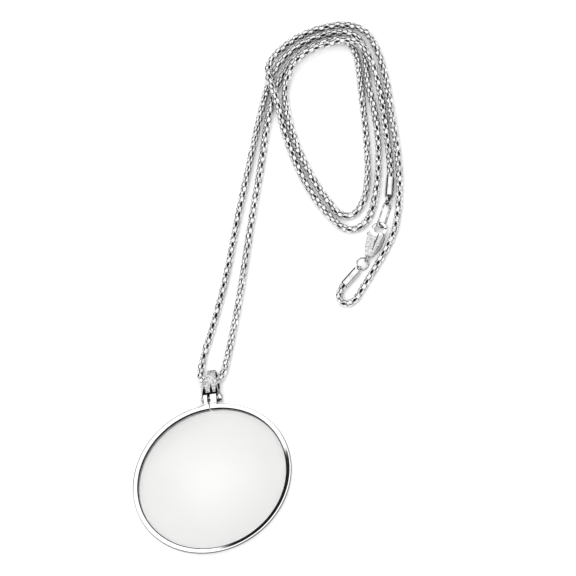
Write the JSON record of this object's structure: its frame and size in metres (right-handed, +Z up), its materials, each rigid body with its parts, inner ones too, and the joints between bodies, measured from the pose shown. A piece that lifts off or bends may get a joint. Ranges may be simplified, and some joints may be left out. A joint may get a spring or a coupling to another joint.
{
  "type": "magnifier pendant necklace",
  "caption": "Round magnifying lens in a slim silver rim, hung by a fluted bail on a fine round chain with end caps, jump rings and a lobster clasp, lying folded on a flat surface.",
  "frame": {"origin": "on the surface, under the middle of the whole necklace's box as it lies", "axes": "+Y runs from the lens to its bail and along the folded chain, +X is to the right of that, +Z is up from the surface"},
  "size_m": [0.0877, 0.1731, 0.0044],
  "materials": {
    "silver": "polished silver plate",
    "lens_glass": "clear polished glass",
    "chain_silver": "bright silver plate on fine links",
    "cap_silver": "polished silver plate",
    "ring_silver": "polished silver wire",
    "clasp_silver": "polished cast silver plate"
  },
  "bodies": {
    "necklace": {"bail": "silver", "chain_a": "chain_silver", "chain_b": "chain_silver", "end_cap_a": "cap_silver", "end_cap_b": "cap_silver", "jump_ring_a": "ring_silver", "oval_ring": "ring_silver", "jump_ring_b": "ring_silver", "clasp_body": "clasp_silver", "clasp_pin": "clasp_silver"},
    "pendant": {"frame": "silver", "lens": "lens_glass", "lug_screw": "silver"},
    "lever": {"clasp_lever": "clasp_silver"}
  },
  "joints": [
    {"name": "pendant_hinge", "type": "hinge", "parent": "necklace", "child": "pendant", "pos_m": [-0.0185, -0.03408, 0.00152], "axis": [-1, 0, 0], "range_deg": [0, 90]},
    {"name": "lever_hinge", "type": "hinge", "parent": "necklace", "child": "lever", "pos_m": [0.03528, 0.00951, 0.00125], "axis": [0, 0, 1], "range_deg": [0, 20], "stiffness_Nm_per_rad": 0.004, "springref_deg": -17.19}
  ]
}
